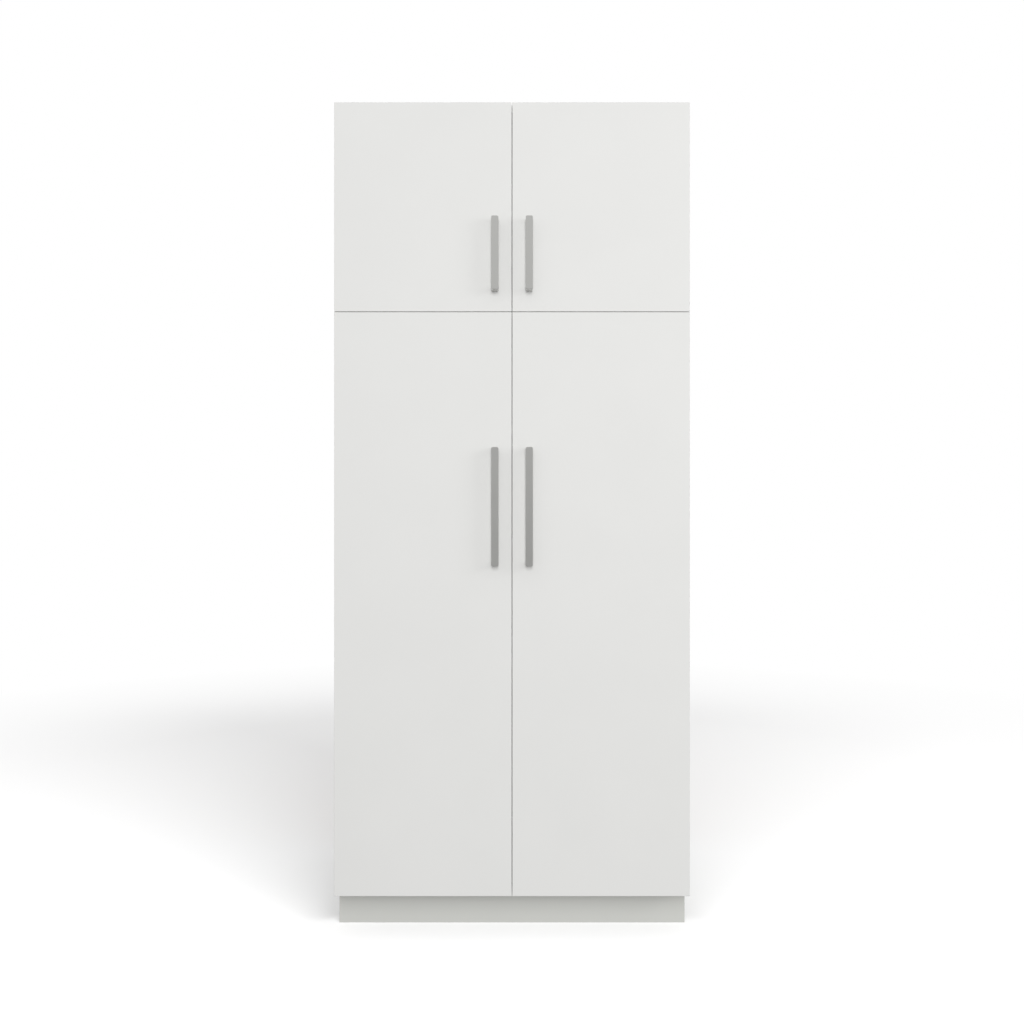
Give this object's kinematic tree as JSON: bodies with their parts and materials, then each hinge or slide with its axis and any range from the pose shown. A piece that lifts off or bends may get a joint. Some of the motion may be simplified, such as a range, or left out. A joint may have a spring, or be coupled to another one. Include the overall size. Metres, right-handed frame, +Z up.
{
  "type": "pantry cabinet",
  "caption": "Tall free-standing pantry cabinet: smooth slab doors in an upper and a lower pair, slim metal bar pulls beside the centre line, shelves inside, recessed plinth.",
  "frame": {"origin": "floor level, middle of the overall width and of the overall depth including the handles", "axes": "+X to the right seen from the front, +Y from the doors to the back, +Z up"},
  "size_m": [0.9, 0.61, 2.1],
  "materials": {
    "door_board": "white melamine-faced chipboard with matching edging, smooth satin",
    "carcass_board": "white melamine-faced chipboard, smooth satin",
    "shelf_board": "white melamine-faced chipboard with edging, smooth satin",
    "back_board": "white lacquered hardboard, matt",
    "plinth_board": "white melamine-faced chipboard, satin",
    "raw_timber": "bare beech, planed",
    "handle_metal": "satin grey anodised bar",
    "nickel_steel": "nickel-plated pressed steel",
    "zinc": "zinc die casting",
    "screw_steel": "zinc-plated steel",
    "bumper_rubber": "translucent soft polyurethane dot"
  },
  "bodies": {
    "carcass": {"side_panel_left": "carcass_board", "side_panel_right": "carcass_board", "top_panel": "carcass_board", "bottom_panel": "carcass_board", "middle_fixed_shelf": "carcass_board", "back_panel_lower": "back_board", "back_panel_upper": "back_board", "rear_rail_top": "carcass_board", "rear_rail_middle": "carcass_board", "rear_rail_bottom": "carcass_board", "shelf_lower_1": "shelf_board", "shelf_lower_2": "shelf_board", "shelf_lower_3": "shelf_board", "shelf_lower_4": "shelf_board", "shelf_upper": "shelf_board", "plinth_front": "plinth_board", "plinth_rear": "plinth_board", "plinth_side_left": "plinth_board", "plinth_side_right": "plinth_board", "plinth_brace": "plinth_board", "plinth_blocks": "raw_timber", "plinth_screws": "screw_steel", "back_screws": "screw_steel", "cam_locks": "zinc", "cam_bolts": "zinc", "dowels": "raw_timber", "shelf_pins": "nickel_steel", "door_bumpers": "bumper_rubber", "hinge_plates": "nickel_steel", "hinge_plate_screws": "screw_steel", "hinge_adjust_screws": "screw_steel", "hinge_arms_upper_left": "nickel_steel", "hinge_arms_upper_right": "nickel_steel", "hinge_arms_lower_left": "nickel_steel", "hinge_arms_lower_right": "nickel_steel"},
    "door_upper_left": {"door_upper_left": "door_board", "handle_upper_left": "handle_metal", "handle_screws_upper_left": "screw_steel", "hinge_cups_upper_left": "nickel_steel", "hinge_pins_upper_left": "nickel_steel", "hinge_cup_screws_upper_left": "screw_steel"},
    "door_upper_right": {"door_upper_right": "door_board", "handle_upper_right": "handle_metal", "handle_screws_upper_right": "screw_steel", "hinge_cups_upper_right": "nickel_steel", "hinge_pins_upper_right": "nickel_steel", "hinge_cup_screws_upper_right": "screw_steel"},
    "door_lower_left": {"door_lower_left": "door_board", "handle_lower_left": "handle_metal", "handle_screws_lower_left": "screw_steel", "hinge_cups_lower_left": "nickel_steel", "hinge_pins_lower_left": "nickel_steel", "hinge_cup_screws_lower_left": "screw_steel"},
    "door_lower_right": {"door_lower_right": "door_board", "handle_lower_right": "handle_metal", "handle_screws_lower_right": "screw_steel", "hinge_cups_lower_right": "nickel_steel", "hinge_pins_lower_right": "nickel_steel", "hinge_cup_screws_lower_right": "screw_steel"}
  },
  "joints": [
    {"name": "door_upper_left_hinge", "type": "hinge", "parent": "carcass", "child": "door_upper_left", "pos_m": [-0.4417, -0.2675, 1.8355], "axis": [0, 0, 1], "range_deg": [-95, 0]},
    {"name": "door_upper_right_hinge", "type": "hinge", "parent": "carcass", "child": "door_upper_right", "pos_m": [0.4417, -0.2675, 1.8355], "axis": [0, 0, 1], "range_deg": [0, 95]},
    {"name": "door_lower_left_hinge", "type": "hinge", "parent": "carcass", "child": "door_lower_left", "pos_m": [-0.4417, -0.2675, 0.833], "axis": [0, 0, 1], "range_deg": [-95, 0]},
    {"name": "door_lower_right_hinge", "type": "hinge", "parent": "carcass", "child": "door_lower_right", "pos_m": [0.4417, -0.2675, 0.833], "axis": [0, 0, 1], "range_deg": [0, 95]}
  ]
}
